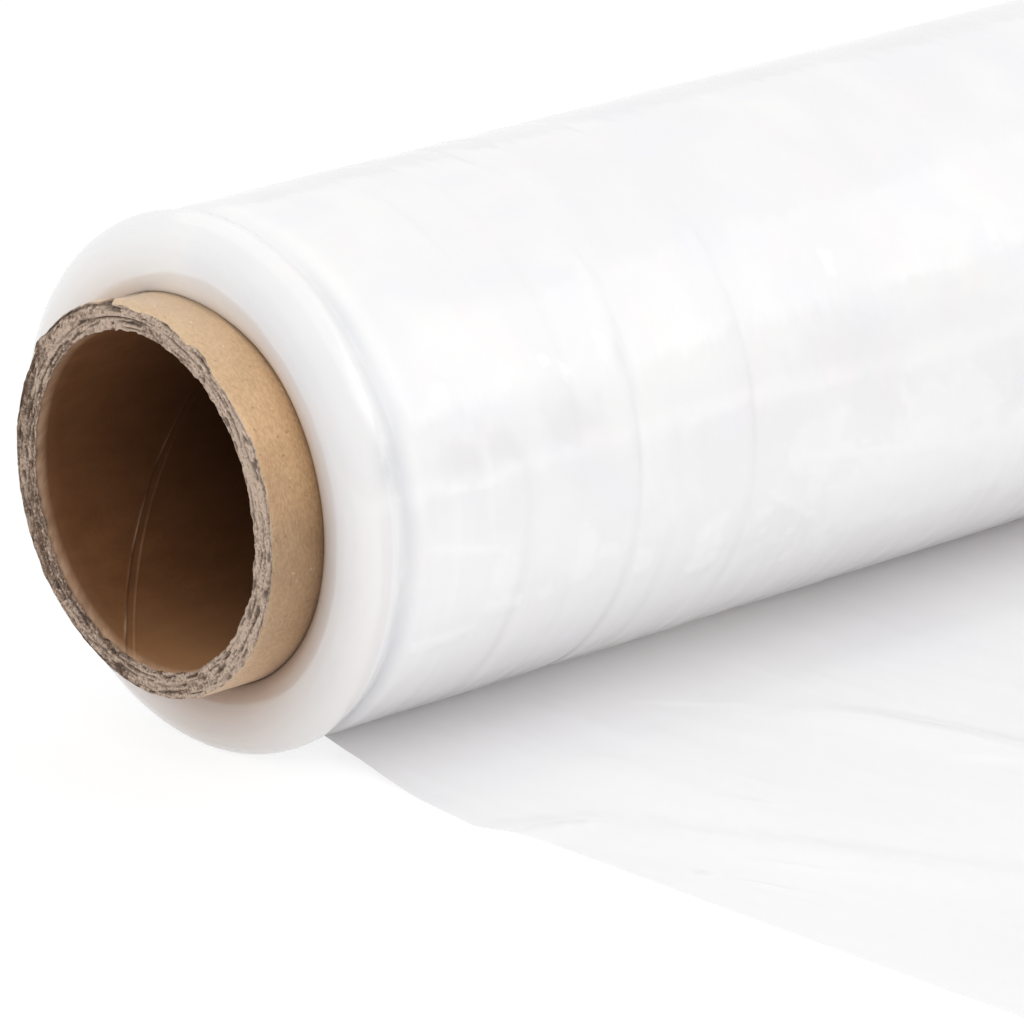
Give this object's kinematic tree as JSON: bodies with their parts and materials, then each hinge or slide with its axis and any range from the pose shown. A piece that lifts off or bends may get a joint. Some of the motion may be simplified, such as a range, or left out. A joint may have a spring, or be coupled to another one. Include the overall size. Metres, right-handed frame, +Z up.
{
  "type": "stretch wrap roll",
  "caption": "Hand roll of clear stretch film wound on a cardboard core, lying on its side with the loose end of the film drawn out flat.",
  "frame": {"origin": "centre of the core's bore, halfway along the roll", "axes": "X along the roll's axis, the loose end drawn out towards -Y, +Z up"},
  "size_m": [0.515, 0.34, 0.0793],
  "materials": {
    "cardboard": "raw kraft cardboard, matt, with torn grey fibre on the cut ends",
    "stretch_film": "glossy clear film, milky white where it is wound, nearly clear where it is loose"
  },
  "bodies": {
    "root": {"core": "cardboard", "film": "stretch_film"}
  },
  "joints": []
}
